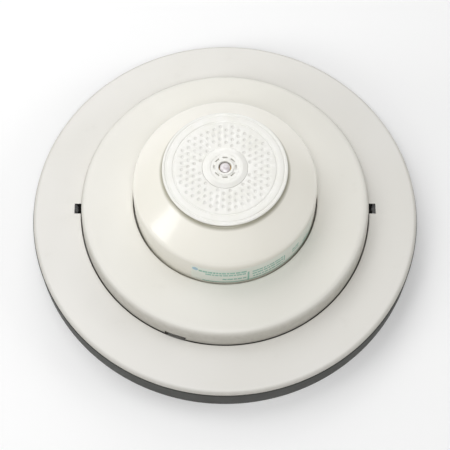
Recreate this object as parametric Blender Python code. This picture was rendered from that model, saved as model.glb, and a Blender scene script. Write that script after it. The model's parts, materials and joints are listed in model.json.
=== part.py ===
"""Mechanical heat detector for a ceiling, lying on its back with the sensing head up.

Rate-of-rise and fixed-temperature sensing in one head: a diaphragm closes one contact when the
air in the chamber warms fast, and a fusible alloy lets go of a sprung plunger and of the heat
collector when it melts. The detector twists on to a steel bracket, over a wide trim plate.

Axes: +Z is the detector's axis, away from the ceiling. z = 0 is the ceiling's surface.
Angles are degrees about +Z, counted from +X.
"""

import math

import bmesh
import bpy
from mathutils import Matrix

MM = 0.001
GAP = 0.3 * MM  # left between neighbouring pieces

# Driving dimensions
PLATE_RADIUS = 77.5 * MM
PLATE_TOP = 12.7 * MM
PLATE_THICKNESS = 2.3 * MM
PLATE_EDGE_FILLET = 1.9 * MM
BACK_RING_RADIUS = 77.8 * MM  # a thin lip shows round the plate
BACK_RING_HEIGHT = 10.1 * MM
HOUSING_RADIUS = 57.75 * MM
HOUSING_TOP = 22.3 * MM
HOUSING_SHOULDER_RADIUS = 57.15 * MM  # the wall leans in above the plate, as moulding draft
HOUSING_SHOULDER_FILLET = 2.9 * MM
HOUSING_WALL = 2.25 * MM
HEAD_OPENING_RADIUS = 36.6 * MM
HEAD_RADIUS = 36.1 * MM
HEAD_SHOULDER_RADIUS = 35.8 * MM
HEAD_SHOULDER_HEIGHT = 37.3 * MM
HEAD_SHOULDER_FILLET = 4.0 * MM
HEAD_TOP = 47.2 * MM
HEAD_WALL = 1.8 * MM
DISC_RADIUS = 23.9 * MM
DISC_TOP = 49.1 * MM
DISC_THICKNESS = 0.9 * MM
HUB_RADIUS = 8.6 * MM
HUB_CREST_RADIUS = 6.9 * MM
HUB_BORE_RADIUS = 2.45 * MM
HUB_TOP = 49.65 * MM
BRACKET_RADIUS = 54.0 * MM
BRACKET_BORE_RADIUS = 33.0 * MM
BRACKET_THICKNESS = 1.2 * MM
BOX_SCREW_CIRCLE = 44.45 * MM  # radius: 88.9 mm between a standard box's two screws
BASE_RADIUS = 55.1 * MM
BASE_BACK = 7.0 * MM
BASE_FRONT = 9.6 * MM
FLOOR_BACK = 18.6 * MM
FLOOR_FRONT = 20.6 * MM
FLOOR_RADIUS = 32.6 * MM
DIAPHRAGM_Y = 18.0 * MM
DIAPHRAGM_BACK = 20.9 * MM

# How far each joint goes, as its real stops allow
TWIST_DEGREES = 16.0
COLLECTOR_DROP = 6.0 * MM
PLUNGER_TRAVEL = 1.6 * MM
STUD_TRAVEL = 0.8 * MM
PLUNGER_LEAF_DEGREES = 6.8
RISE_LEAF_DEGREES = 4.0

# Number of flats round a turned piece
ROUND = 52
HEAD_ROUND = 44
MEDIUM_ROUND = 32
SMALL_ROUND = 20
SCREW_ROUND = 12

# Angles of what repeats round the axis
HOOK_ANGLES = (45, 135, 225, 315)
EAR_ANGLES = (90, 210, 330)
BASE_SCREW_ANGLES = (45, 135, 225, 315)
CHAMBER_SCREW_ANGLES = (30, 150, 270)
BASE_SCREW_CIRCLE = 50.5 * MM
CHAMBER_SCREW_CIRCLE = 25.0 * MM
TERMINALS = [(x * MM, y * MM) for y in (7, -7) for x in (-22, 22)]

# Contact leaves: the pivot is at the rivet
LEAF_THICKNESS = 0.3 * MM
LEAF_WIDTH = 5.0 * MM
RISE_PIVOT = (-12.0 * MM, DIAPHRAGM_Y, 16.2 * MM)
RISE_CONTACT_X = 4.5 * MM
PLUNGER_PIVOT = (13.0 * MM, 0.0, 14.2 * MM)
PLUNGER_CONTACT_X = -2.6 * MM
PLUNGER_TIP = 14.8 * MM
SPRING_LOW = 25.0 * MM
SPRING_HIGH = 37.7 * MM
VENT_CENTRE = (-16.0 * MM, -9.0 * MM)


# ---------------------------------------------------------------- tools

def clear_scene():
    for obj in list(bpy.data.objects):
        bpy.data.objects.remove(obj)


def new_object(name, bm, location=(0, 0, 0)):
    """Turns a bmesh into a named object, smooth across its shallow edges."""
    bmesh.ops.recalc_face_normals(bm, faces=bm.faces)
    mesh = bpy.data.meshes.new(name)
    bm.to_mesh(mesh)
    bm.free()
    mesh.shade_smooth()
    mesh.set_sharp_from_angle(angle=math.radians(35))
    obj = bpy.data.objects.new(name, mesh)
    obj.location = location
    bpy.context.scene.collection.objects.link(obj)
    return obj


def rounded(corners, steps=3):
    """A profile from corners (r, z) or (r, z, fillet radius), with each fillet as a short arc."""
    points = []
    for index, corner in enumerate(corners):
        if len(corner) == 2:
            points.append(corner)
            continue
        x, z, radius = corner
        before = corners[index - 1]
        after = corners[(index + 1) % len(corners)]
        ax, az = before[0] - x, before[1] - z
        bx, bz = after[0] - x, after[1] - z
        a_length, b_length = math.hypot(ax, az), math.hypot(bx, bz)
        ax, az, bx, bz = ax / a_length, az / a_length, bx / b_length, bz / b_length
        half = math.acos(ax * bx + az * bz) / 2
        reach = radius / math.sin(half)
        mx, mz = ax + bx, az + bz
        m_length = math.hypot(mx, mz)
        cx, cz = x + mx / m_length * reach, z + mz / m_length * reach
        tangent = radius / math.tan(half)
        start = math.atan2(z + az * tangent - cz, x + ax * tangent - cx)
        end = math.atan2(z + bz * tangent - cz, x + bx * tangent - cx)
        sweep = (end - start + math.pi) % math.tau - math.pi
        for step in range(steps + 1):
            angle = start + sweep * step / steps
            points.append((cx + radius * math.cos(angle), cz + radius * math.sin(angle)))
    return points


def turned(name, profile, flats, centre=(0, 0)):
    """A turned solid. The profile runs from axis to axis, or is a closed loop off the axis."""
    bm = bmesh.new()
    verts = [bm.verts.new((r, 0, z)) for r, z in profile]
    edges = [bm.edges.new(pair) for pair in zip(verts, verts[1:])]
    if profile[0][0] > 0:
        edges.append(bm.edges.new((verts[-1], verts[0])))
    bmesh.ops.spin(bm, geom=verts + edges, cent=(0, 0, 0), axis=(0, 0, 1),
                   angle=math.tau, steps=flats, use_merge=True)
    bmesh.ops.remove_doubles(bm, verts=bm.verts, dist=1e-6)
    return new_object(name, bm, (centre[0], centre[1], 0))


def sector(name, profile, middle, half_angle, steps=4):
    """A closed (r, z) outline swept through an arc of 2 * half_angle degrees."""
    bm = bmesh.new()
    first = math.radians(middle - half_angle)
    verts = [bm.verts.new((r * math.cos(first), r * math.sin(first), z)) for r, z in profile]
    face = bm.faces.new(verts)
    bmesh.ops.spin(bm, geom=[*verts, *face.edges, face], cent=(0, 0, 0), axis=(0, 0, 1),
                   angle=math.radians(2 * half_angle), steps=steps)
    return new_object(name, bm)


def prism(name, outline, low, high, location=(0, 0, 0)):
    """A flat (x, y) outline raised from low to high."""
    bm = bmesh.new()
    face = bm.faces.new([bm.verts.new((x, y, low)) for x, y in outline])
    raised = bmesh.ops.extrude_face_region(bm, geom=[face])["geom"]
    top = [v for v in raised if isinstance(v, bmesh.types.BMVert)]
    bmesh.ops.translate(bm, verts=top, vec=(0, 0, high - low))
    return new_object(name, bm, location)


def block(name, x, y, z, location=(0, 0, 0)):
    """A box between the pairs x, y and z."""
    outline = [(x[0], y[0]), (x[1], y[0]), (x[1], y[1]), (x[0], y[1])]
    return prism(name, outline, z[0], z[1], location)


def cylinder(name, radius, low, high, flats=SCREW_ROUND, centre=(0, 0)):
    profile = [(0, low), (radius, low), (radius, high), (0, high)]
    return turned(name, profile, flats, centre)


def combine(target, other, operation):
    """Joins other to target, or cuts it away, and removes it."""
    modifier = target.modifiers.new(operation.lower(), "BOOLEAN")
    modifier.operation = operation
    modifier.solver = "EXACT"
    modifier.object = other
    bpy.context.view_layer.update()
    depsgraph = bpy.context.evaluated_depsgraph_get()
    mesh = bpy.data.meshes.new_from_object(target.evaluated_get(depsgraph))
    target.modifiers.remove(modifier)
    target.data = mesh
    bpy.data.objects.remove(other)


def join(target, other):
    combine(target, other, "UNION")


def cut(target, other):
    combine(target, other, "DIFFERENCE")


def turn_about_axis(obj, degrees):
    """Turns an object that sits at the origin about +Z, in its mesh."""
    obj.data.transform(Matrix.Rotation(math.radians(degrees), 4, "Z"))


def on_circle(radius, degrees):
    return radius * math.cos(math.radians(degrees)), radius * math.sin(math.radians(degrees))


def linear(hex_colour):
    """Linear colour from an sRGB hex value."""
    channels = [int(hex_colour[i:i + 2], 16) / 255 for i in (0, 2, 4)]
    return [c / 12.92 if c <= 0.04045 else ((c + 0.055) / 1.055) ** 2.4 for c in channels]


def paint(obj, hex_colour, roughness, metallic=0.0):
    material = bpy.data.materials.new(obj.name + "_finish")
    material.use_nodes = True
    shader = material.node_tree.nodes["Principled BSDF"]
    shader.inputs["Base Color"].default_value = (*linear(hex_colour), 1)
    shader.inputs["Roughness"].default_value = roughness
    shader.inputs["Metallic"].default_value = metallic
    obj.data.materials.clear()
    obj.data.materials.append(material)
    return obj


WHITE_ABS = ("F1EEEA", 0.5)
CREAM_ABS = ("EEEDE0", 0.3)
CHARCOAL = ("3B3B38", 0.6)
GREY_BASE = ("C9C6BC", 0.5)
PHENOLIC = ("4A3A2C", 0.5)
ZINC_STEEL = ("B9BCC0", 0.35, 1.0)
BRASS = ("C9A860", 0.3, 1.0)
BRONZE = ("C08A5A", 0.3, 1.0)
SILVER = ("E0DFDA", 0.2, 1.0)
SPRING_STEEL = ("A8AAAD", 0.3, 1.0)
IVORY_ALUMINIUM = ("F0EFEA", 0.4)
SOLDER = ("A9A5A6", 0.35, 1.0)
RUBBER = ("2B2B2B", 0.8)


# ---------------------------------------------------------------- fixed to the ceiling

def make_back_ring():
    """Charcoal spacer ring: a wall, a foot flange and a bead that the plate's hooks hold."""
    wall_outer = BACK_RING_RADIUS
    wall_inner = 75.0 * MM
    flange_inner = 66.0 * MM
    bead_inner = wall_inner - 1.2 * MM
    profile = [
        (wall_outer, 0), (wall_outer, BACK_RING_HEIGHT), (wall_inner, BACK_RING_HEIGHT),
        (wall_inner, 6.0 * MM), (bead_inner, 5.5 * MM), (bead_inner, 4.0 * MM),
        (wall_inner, 4.0 * MM), (wall_inner, 1.8 * MM), (flange_inner, 1.8 * MM),
        (flange_inner, 0),
    ]
    return paint(turned("back_ring", profile, ROUND), *CHARCOAL)


def make_trim_plate():
    """Wide plate with an inner collar, a flange under the housing, windows and snap hooks."""
    rim_bottom = PLATE_TOP - PLATE_THICKNESS
    hole = HOUSING_RADIUS + 0.45 * MM
    collar = hole + 2.2 * MM
    flange_back = 1.6 * MM
    flange_front = 3.4 * MM
    flange_bore = 50.5 * MM
    plate = turned("trim_plate", rounded([
        (PLATE_RADIUS, rim_bottom), (PLATE_RADIUS, PLATE_TOP, PLATE_EDGE_FILLET),
        (hole, PLATE_TOP, 0.3 * MM), (hole, flange_front), (flange_bore, flange_front),
        (flange_bore, flange_back), (collar, flange_back), (collar, rim_bottom),
    ]), ROUND)
    hook_outline = [
        (71.4, 10.7), (71.4, 2.4), (73.6, 2.4), (74.4, 3.0), (74.4, 3.6), (73.2, 3.6), (73.2, 10.7),
    ]
    for angle in HOOK_ANGLES:
        join(plate, sector("hook", [(r * MM, z * MM) for r, z in hook_outline], angle, 3.2))
    window_inner, window_outer = hole - 1 * MM, hole + 2.65 * MM
    pocket_outer = window_outer + 1.2 * MM  # thins the plate round each window from below
    for side in (-1, 1):
        window = sorted((side * window_inner, side * window_outer))
        cut(plate, block("window", window, (-2.2 * MM, 2.2 * MM), (5 * MM, 14 * MM)))
        pocket = sorted((side * window_inner, side * pocket_outer))
        cut(plate, block("pocket", pocket, (-3.6 * MM, 3.6 * MM), (5 * MM, PLATE_TOP - 0.8 * MM)))
    return paint(plate, *WHITE_ABS)


def make_mounting_bracket():
    """Stamped ring with two box-screw slots and three bent ears that catch the base's lugs."""
    bracket = turned("mounting_bracket", [
        (BRACKET_RADIUS, 0), (BRACKET_RADIUS, BRACKET_THICKNESS),
        (BRACKET_BORE_RADIUS, BRACKET_THICKNESS), (BRACKET_BORE_RADIUS, 0),
    ], ROUND)
    ear_outline = [(41, 1.0), (42.2, 1.0), (42.2, 3.8), (46, 3.8), (46, 5.0), (41, 5.0)]
    for angle in EAR_ANGLES:
        join(bracket, sector("ear", [(r * MM, z * MM) for r, z in ear_outline], angle, 7))
    half_slot = 2.3 * MM
    slot_outline = [
        (BOX_SCREW_CIRCLE - half_slot, -1 * MM), (BOX_SCREW_CIRCLE + half_slot, -1 * MM),
        (BOX_SCREW_CIRCLE + half_slot, 2.5 * MM), (BOX_SCREW_CIRCLE - half_slot, 2.5 * MM),
    ]
    for angle in (0, 180):
        cut(bracket, sector("slot", slot_outline, angle, 12))
    return paint(bracket, *ZINC_STEEL)


# ---------------------------------------------------------------- housing and base

def make_housing_ring():
    """Stepped housing: skirt, top, collar round the head, screw bosses and a release notch."""
    inner = HOUSING_RADIUS - HOUSING_WALL
    skirt_bottom = 3.9 * MM
    under_top = HOUSING_TOP - 2.3 * MM
    collar_bottom = 15.0 * MM
    collar_outer = HEAD_OPENING_RADIUS + 1.8 * MM
    housing = turned("housing_ring", rounded([
        (HOUSING_RADIUS, skirt_bottom), (HOUSING_RADIUS, PLATE_TOP),
        (HOUSING_SHOULDER_RADIUS, HOUSING_TOP, HOUSING_SHOULDER_FILLET),
        (HEAD_OPENING_RADIUS, HOUSING_TOP, 0.4 * MM), (HEAD_OPENING_RADIUS, collar_bottom),
        (collar_outer, collar_bottom), (collar_outer, under_top), (inner, under_top),
        (inner, skirt_bottom),
    ]), ROUND)
    boss_bottom = BASE_FRONT + GAP
    for angle in BASE_SCREW_ANGLES:
        centre = on_circle(BASE_SCREW_CIRCLE, angle)
        join(housing, cylinder("boss", 3.4 * MM, boss_bottom, under_top + 0.6 * MM, 16, centre))
        cut(housing, cylinder("pilot", 1.55 * MM, boss_bottom - 1 * MM, 18 * MM, centre=centre))
    notch = block("notch", (HOUSING_RADIUS - 3.5 * MM, HOUSING_RADIUS + 2 * MM),
                  (-4.3 * MM, 4.3 * MM), (skirt_bottom - 1 * MM, 14.4 * MM))
    turn_about_axis(notch, -109.5)
    cut(housing, notch)
    return paint(housing, *WHITE_ABS)


def make_base_plate():
    """Moulded base: support walls, posts for leaves and screws, and lugs for the bracket."""
    wall_top = FLOOR_BACK - GAP
    base = turned("base_plate", [
        (0, BASE_BACK), (BASE_RADIUS, BASE_BACK), (BASE_RADIUS, BASE_FRONT),
        (37.2 * MM, BASE_FRONT), (37.2 * MM, 12.2 * MM), (35 * MM, 12.2 * MM),
        (35 * MM, BASE_FRONT), (31.5 * MM, BASE_FRONT), (31.5 * MM, wall_top),
        (29.5 * MM, wall_top), (29.5 * MM, BASE_FRONT), (0, BASE_FRONT),
    ], HEAD_ROUND)
    sunk = BASE_FRONT - 0.4 * MM
    for angle in CHAMBER_SCREW_ANGLES:
        centre = on_circle(CHAMBER_SCREW_CIRCLE, angle)
        join(base, cylinder("post", 3.0 * MM, sunk, wall_top, centre=centre))
        cut(base, cylinder("pilot", 1.3 * MM, 11 * MM, 20 * MM, centre=centre))
    for (x, y, leaf_back), clearance in ((RISE_PIVOT, 0.3 * MM), (PLUNGER_PIVOT, 0.4 * MM)):
        top = leaf_back - clearance
        half_width = 2.3 * MM
        join(base, block("post", (x - half_width, x + half_width), (y - 3 * MM, y + 3 * MM),
                         (sunk, top)))
        cut(base, cylinder("pilot", 1.2 * MM, 11 * MM, 20 * MM, centre=(x, y)))
    lug_outline = [(43, 1.7), (48.6, 1.7), (48.6, 7.6), (46.4, 7.6), (46.4, 3.4), (43, 3.4)]
    for angle in EAR_ANGLES:
        join(base, sector("lug", [(r * MM, z * MM) for r, z in lug_outline], angle, 5))
    screw_holes = [(on_circle(BASE_SCREW_CIRCLE, angle), 1.7 * MM) for angle in BASE_SCREW_ANGLES]
    screw_holes += [(centre, 1.9 * MM) for centre in TERMINALS]
    screw_holes += [((RISE_CONTACT_X, DIAPHRAGM_Y), 1.6 * MM)]
    for centre, radius in screw_holes:
        cut(base, cylinder("hole", radius, 6 * MM, 10.5 * MM, centre=centre))
    return paint(base, *GREY_BASE)


def make_screw(name, centre, head_radius, head, shank_radius, shank_end):
    """A slotted pan-head screw. head is (face, seat); the shank runs on past the seat."""
    face, seat = head
    screw = turned(name, [
        (0, face), (head_radius * 0.85, face), (head_radius, face + (seat - face) * 0.35),
        (head_radius, seat), (shank_radius, seat), (shank_radius, shank_end), (0, shank_end),
    ], SCREW_ROUND, centre)
    towards_head = math.copysign(1, face - seat)
    slot = sorted((face + towards_head * 1 * MM, face - towards_head * 0.7 * MM))
    half_slot = 0.4 * MM
    cut(screw, block("slot", (centre[0] - half_slot, centre[0] + half_slot),
                     (centre[1] - 6 * MM, centre[1] + 6 * MM), slot))
    return paint(screw, *ZINC_STEEL)


def make_base_screws():
    return [
        make_screw(f"base_screw_{n}", on_circle(BASE_SCREW_CIRCLE, angle), 3.0 * MM,
                   (4.7 * MM, BASE_BACK - GAP), 1.2 * MM, 17 * MM)
        for n, angle in enumerate(BASE_SCREW_ANGLES, 1)
    ]


def make_terminals():
    """Three pieces for each wire: a brass plate, a square clamp and the screw through both."""
    made = []
    for n, (x, y) in enumerate(TERMINALS, 1):
        plate = block(f"terminal_plate_{n}", (x - 4 * MM, x + 4 * MM), (y - 4.3 * MM, y + 4.3 * MM),
                      (6.0 * MM, BASE_BACK - GAP))
        clamp = block(f"terminal_clamp_{n}", (x - 3.8 * MM, x + 3.8 * MM),
                      (y - 3.8 * MM, y + 3.8 * MM), (4.9 * MM, 5.7 * MM))
        for piece in (plate, clamp):
            cut(piece, cylinder("hole", 1.9 * MM, 4 * MM, 8 * MM, centre=(x, y)))
        screw = make_screw(f"terminal_screw_{n}", (x, y), 3.4 * MM, (2.5 * MM, 4.6 * MM),
                           1.5 * MM, 9.0 * MM)
        made += [paint(plate, *BRASS), paint(clamp, *ZINC_STEEL), screw]
    return made


# ---------------------------------------------------------------- sensing head

def make_head_cover():
    """Chamber shell: flange behind the housing, wall, shoulder, cone and flat top."""
    flange_radius = 39.4 * MM
    flange_back = 12.6 * MM
    flange_front = 14.6 * MM
    return paint(turned("head_cover", rounded([
        (flange_radius, flange_back), (flange_radius, flange_front), (HEAD_RADIUS, flange_front),
        (HEAD_SHOULDER_RADIUS, HEAD_SHOULDER_HEIGHT, HEAD_SHOULDER_FILLET),
        (DISC_RADIUS, HEAD_TOP, 1.5 * MM), (4.3 * MM, HEAD_TOP),
        (4.3 * MM, HEAD_TOP - HEAD_WALL), (DISC_RADIUS - 0.7 * MM, HEAD_TOP - HEAD_WALL),
        (HEAD_SHOULDER_RADIUS - HEAD_WALL, HEAD_SHOULDER_HEIGHT - 0.8 * MM, 2.2 * MM),
        (HEAD_RADIUS - HEAD_WALL, flange_back),
    ]), HEAD_ROUND), *CREAM_ABS)


def make_chamber_floor():
    """Floor of the air chamber, with a rim that seats the diaphragm and holes for what passes."""
    floor = turned("chamber_floor", [
        (3.9 * MM, FLOOR_BACK), (FLOOR_RADIUS, FLOOR_BACK), (FLOOR_RADIUS, FLOOR_FRONT),
        (3.9 * MM, FLOOR_FRONT),
    ], MEDIUM_ROUND)
    rim = turned("rim", [
        (11.1 * MM, FLOOR_FRONT - 0.4 * MM), (12.2 * MM, FLOOR_FRONT - 0.4 * MM),
        (12.2 * MM, 22.9 * MM), (11.1 * MM, 22.9 * MM),
    ], SMALL_ROUND, (0, DIAPHRAGM_Y))
    join(floor, rim)
    holes = [(on_circle(CHAMBER_SCREW_CIRCLE, angle), 1.5 * MM) for angle in CHAMBER_SCREW_ANGLES]
    holes += [((0, DIAPHRAGM_Y), 7.0 * MM), (VENT_CENTRE, 2.6 * MM)]
    for centre, radius in holes:
        cut(floor, cylinder("hole", radius, FLOOR_BACK - 1 * MM, FLOOR_FRONT + 1 * MM, 16, centre))
    return paint(floor, *PHENOLIC)


def make_breather_vent():
    """Sintered bronze plug that lets slow changes of pressure leak away."""
    profile = [(0, 18.3 * MM), (2.3 * MM, 18.3 * MM), (2.3 * MM, 21.2 * MM), (1.9 * MM, 21.6 * MM),
               (0, 21.6 * MM)]
    return paint(turned("breather_vent", profile, SCREW_ROUND, VENT_CENTRE), *BRONZE)


def make_chamber_seal():
    inner, outer = FLOOR_RADIUS + GAP, 33.85 * MM
    low, high = FLOOR_BACK + GAP, FLOOR_FRONT - GAP
    return paint(turned("chamber_seal", [
        (inner, low), (outer, low), (outer, high), (inner, high),
    ], MEDIUM_ROUND), *RUBBER)


def make_chamber_screws():
    return [
        make_screw(f"chamber_screw_{n}", on_circle(CHAMBER_SCREW_CIRCLE, angle), 2.6 * MM,
                   (22.4 * MM, FLOOR_FRONT + GAP), 1.0 * MM, 12.0 * MM)
        for n, angle in enumerate(CHAMBER_SCREW_ANGLES, 1)
    ]


def make_diaphragm():
    """Thin corrugated disc: two waves between its flat centre and its clamped edge."""
    sheet = 0.2 * MM
    edge, wave_start, wave_end, hole = 10.0 * MM, 3.0 * MM, 8.0 * MM, 1.5 * MM
    steps = 8
    waves = []
    for step in range(steps + 1):
        share = step / steps
        lift = 0.3 * MM * (1 - math.cos(share * 2 * math.tau)) / 2
        waves.append((wave_start + (wave_end - wave_start) * share, DIAPHRAGM_BACK + lift))
    back = [(hole, DIAPHRAGM_BACK), *waves, (edge, DIAPHRAGM_BACK)]
    front = [(r, z + sheet) for r, z in reversed(back)]
    return paint(turned("diaphragm", back + front, SMALL_ROUND, (0, DIAPHRAGM_Y)), *BRONZE)


def make_clamp_ring():
    low, high = DIAPHRAGM_BACK + 0.5 * MM, 22.6 * MM
    return paint(turned("diaphragm_clamp_ring", [
        (8.3 * MM, low), (10.8 * MM, low), (10.8 * MM, high), (8.3 * MM, high),
    ], SMALL_ROUND, (0, DIAPHRAGM_Y)), *BRASS)


def make_diaphragm_stud():
    """Stud with a washer on each side of the diaphragm; its tip faces the rate-of-rise leaf."""
    outline = [(0, 17.0), (1.1, 17.0), (1.1, 19.8), (2.4, 19.8), (2.4, 20.6), (1.1, 20.6),
               (1.1, 21.4), (2.6, 21.4), (2.6, 22.1), (1.1, 22.1), (1.1, 22.8), (0, 22.8)]
    profile = [(r * MM, z * MM) for r, z in outline]
    return paint(turned("diaphragm_stud", profile, SCREW_ROUND, (0, DIAPHRAGM_Y)), *BRASS)


# ---------------------------------------------------------------- fixed-temperature element

def make_guide_tube():
    """Brass tube through the chamber, with a flange under the head's top and a spring seat."""
    outer, neck, flange = 3.6 * MM, 3.9 * MM, 6.5 * MM
    bore, throat = 2.3 * MM, 1.6 * MM
    low, seat, top = 15.8 * MM, 38.0 * MM, 47.6 * MM
    return paint(turned("guide_tube", [
        (outer, low), (outer, 42.6 * MM), (flange, 42.6 * MM), (flange, 43.8 * MM),
        (neck, 43.8 * MM), (neck, top), (throat, top), (throat, seat), (bore, seat), (bore, low),
    ], SMALL_ROUND), *BRASS)


def make_guide_seal():
    low, high = 44.1 * MM, HEAD_TOP - HEAD_WALL - GAP
    return paint(turned("guide_seal", [
        (4.25 * MM, low), (6.3 * MM, low), (6.3 * MM, high), (4.25 * MM, high),
    ], SMALL_ROUND), *RUBBER)


def make_guide_nut():
    """Hexagon nut under the chamber floor, 11 mm across its flats."""
    corner = 11.0 * MM / 2 / math.cos(math.radians(30))
    outline = [on_circle(corner, 60 * n) for n in range(6)]
    nut = prism("guide_nut", outline, 16.2 * MM, FLOOR_BACK - GAP)
    cut(nut, cylinder("hole", 3.9 * MM, 15 * MM, 20 * MM, SMALL_ROUND))
    return paint(nut, *BRASS)


def make_plunger():
    """Rod from the fusible plug to just above its leaf, with the collar that the spring pushes."""
    rod, collar = 1.2 * MM, 1.95 * MM
    collar_back, collar_front, top = 23.5 * MM, SPRING_LOW - GAP, 48.0 * MM
    return paint(turned("plunger", [
        (0, PLUNGER_TIP), (rod, PLUNGER_TIP), (rod, collar_back), (collar, collar_back),
        (collar, collar_front), (rod, collar_front), (rod, top), (0, top),
    ], SCREW_ROUND), *BRASS)


def make_plunger_spring():
    """Compression spring: a round wire swept along a helix."""
    coil_radius, wire_radius, coils = 1.75 * MM, 0.22 * MM, 7
    steps_per_coil, wire_flats = 10, 4
    low, high = SPRING_LOW + wire_radius, SPRING_HIGH - wire_radius
    steps = coils * steps_per_coil
    bm = bmesh.new()
    rings = []
    for step in range(steps + 1):
        angle = math.tau * step / steps_per_coil
        height = low + (high - low) * step / steps
        ring = []
        for flat in range(wire_flats):
            around = math.tau * flat / wire_flats
            r = coil_radius + wire_radius * math.cos(around)
            z = height + wire_radius * math.sin(around)
            ring.append(bm.verts.new((r * math.cos(angle), r * math.sin(angle), z)))
        rings.append(ring)
    for ring, following in zip(rings, rings[1:]):
        for flat in range(wire_flats):
            beside = (flat + 1) % wire_flats
            bm.faces.new((ring[flat], ring[beside], following[beside], following[flat]))
    bm.faces.new(rings[0])
    bm.faces.new(rings[-1])
    return paint(new_object("plunger_spring", bm), *SPRING_STEEL)


def make_heat_collector():
    """Thin aluminium disc that floats above the cone and takes up the room's heat."""
    inner = HUB_RADIUS + GAP
    back = DISC_TOP - DISC_THICKNESS
    return paint(turned("heat_collector", rounded([
        (inner, back), (DISC_RADIUS, back, 0.3 * MM), (DISC_RADIUS, DISC_TOP, 0.4 * MM),
        (inner, DISC_TOP),
    ], 2), MEDIUM_ROUND), *IVORY_ALUMINIUM)


def make_collector_hub():
    """Boss that holds the disc, with eight short slits round the solder."""
    back = 47.95 * MM
    lip = HUB_TOP + 0.2 * MM
    hub = turned("collector_hub", [
        (HUB_BORE_RADIUS, back), (HUB_RADIUS, back), (HUB_RADIUS, DISC_TOP + 0.1 * MM),
        (HUB_CREST_RADIUS, HUB_TOP), (3.6 * MM, HUB_TOP), (3.4 * MM, lip),
        (HUB_BORE_RADIUS, lip),
    ], MEDIUM_ROUND)
    for n in range(8):
        slit = block("slit", (3.85 * MM, 4.5 * MM), (-0.95 * MM, 0.95 * MM), (48.8 * MM, 50.5 * MM))
        turn_about_axis(slit, 45 * n)
        cut(hub, slit)
    return paint(hub, *IVORY_ALUMINIUM)


def make_fusible_plug():
    """Eutectic solder between the plunger's end and the hub."""
    radius, low, high = 2.0 * MM, 48.3 * MM, 49.7 * MM
    return paint(turned("fusible_plug", [
        (0, low), (radius, low), (radius, high - 0.3 * MM), (radius * 0.6, high), (0, high),
    ], SMALL_ROUND), *SOLDER)


# ---------------------------------------------------------------- contacts

def make_leaf(name, pivot, tail, tip):
    """Contact leaf along X. Its origin is the pivot; tail and tip are measured from there."""
    half_width = LEAF_WIDTH / 2
    leaf = block(name, (tail, tip) if tail < tip else (tip, tail), (-half_width, half_width),
                 (0, LEAF_THICKNESS))
    cut(leaf, cylinder("hole", 1.3 * MM, -1 * MM, 1 * MM))
    leaf.location = pivot
    return paint(leaf, *BRONZE)


def make_leaf_contact(name, pivot, x, height=0.9 * MM):
    """Silver button under a leaf, with its origin at the leaf's pivot."""
    button = cylinder(name, 1.3 * MM, -GAP - height, -GAP)
    button.data.transform(Matrix.Translation((x - pivot[0], 0, 0)))
    button.location = pivot
    return paint(button, *SILVER)


def make_leaf_rivet(name, pivot, lift):
    """Rivet through a leaf into its post; lift is the leaf's freedom under the head."""
    x, y, back = pivot
    head_back = back + LEAF_THICKNESS + lift
    return paint(turned(name, [
        (0, 12.0 * MM), (0.9 * MM, 12.0 * MM), (0.9 * MM, head_back), (1.9 * MM, head_back),
        (1.9 * MM, head_back + 0.5 * MM), (1.2 * MM, head_back + 0.8 * MM),
        (0, head_back + 0.8 * MM),
    ], SCREW_ROUND, (x, y)), *BRASS)


def make_plunger_contact():
    """Fixed strip with a raised contact, on the base under the plunger's leaf."""
    low = BASE_FRONT + GAP
    strip = block("plunger_contact", (-9 * MM, 0.5 * MM), (-2.5 * MM, 2.5 * MM),
                  (low, low + 0.5 * MM))
    join(strip, cylinder("button", 1.4 * MM, low + 0.2 * MM, 10.9 * MM,
                         centre=(PLUNGER_CONTACT_X, 0)))
    return paint(strip, *SILVER)


def make_rise_contact_bracket():
    """Brass step that carries the calibration screw under the rate-of-rise leaf."""
    low, shelf = BASE_FRONT + GAP, 12.5 * MM
    sheet = 0.7 * MM
    outline = [
        (9.0 * MM, low), (14.5 * MM, low), (14.5 * MM, low + sheet), (9.7 * MM, low + sheet),
        (9.7 * MM, shelf), (2.4 * MM, shelf), (2.4 * MM, shelf - sheet), (9.0 * MM, shelf - sheet),
    ]
    half_width = LEAF_WIDTH / 2
    bm = bmesh.new()
    face = bm.faces.new([bm.verts.new((x, DIAPHRAGM_Y - half_width, z)) for x, z in outline])
    raised = bmesh.ops.extrude_face_region(bm, geom=[face])["geom"]
    far = [v for v in raised if isinstance(v, bmesh.types.BMVert)]
    bmesh.ops.translate(bm, verts=far, vec=(0, LEAF_WIDTH, 0))
    step = new_object("rise_contact_bracket", bm)
    cut(step, cylinder("hole", 1.5 * MM, 11 * MM, 13 * MM, centre=(RISE_CONTACT_X, DIAPHRAGM_Y)))
    return paint(step, *BRASS)


def make_calibration_screw():
    """Factory-set screw: its tip is the fixed contact, its slot is reached from the back."""
    centre = (RISE_CONTACT_X, DIAPHRAGM_Y)
    screw = cylinder("calibration_screw", 1.2 * MM, 8.4 * MM, 13.5 * MM, centre=centre)
    cut(screw, block("slot", (centre[0] - 0.3 * MM, centre[0] + 0.3 * MM),
                     (centre[1] - 2 * MM, centre[1] + 2 * MM), (8 * MM, 9.1 * MM)))
    return paint(screw, *BRASS)


# ---------------------------------------------------------------- assembly

def joint_empty(name, travel, location=(0, 0, 0)):
    """An empty on a joint's axis. It notes the travel: degrees of a turn, or metres of a slide."""
    empty = bpy.data.objects.new(name, None)
    empty.location = location
    empty["travel"] = travel
    bpy.context.scene.collection.objects.link(empty)
    return empty


def hang(objects, empty):
    """Parents objects to an empty on their joint's axis, and leaves them where they are."""
    for obj in objects:
        obj.location = obj.location - empty.location
        obj.parent = empty


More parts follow.
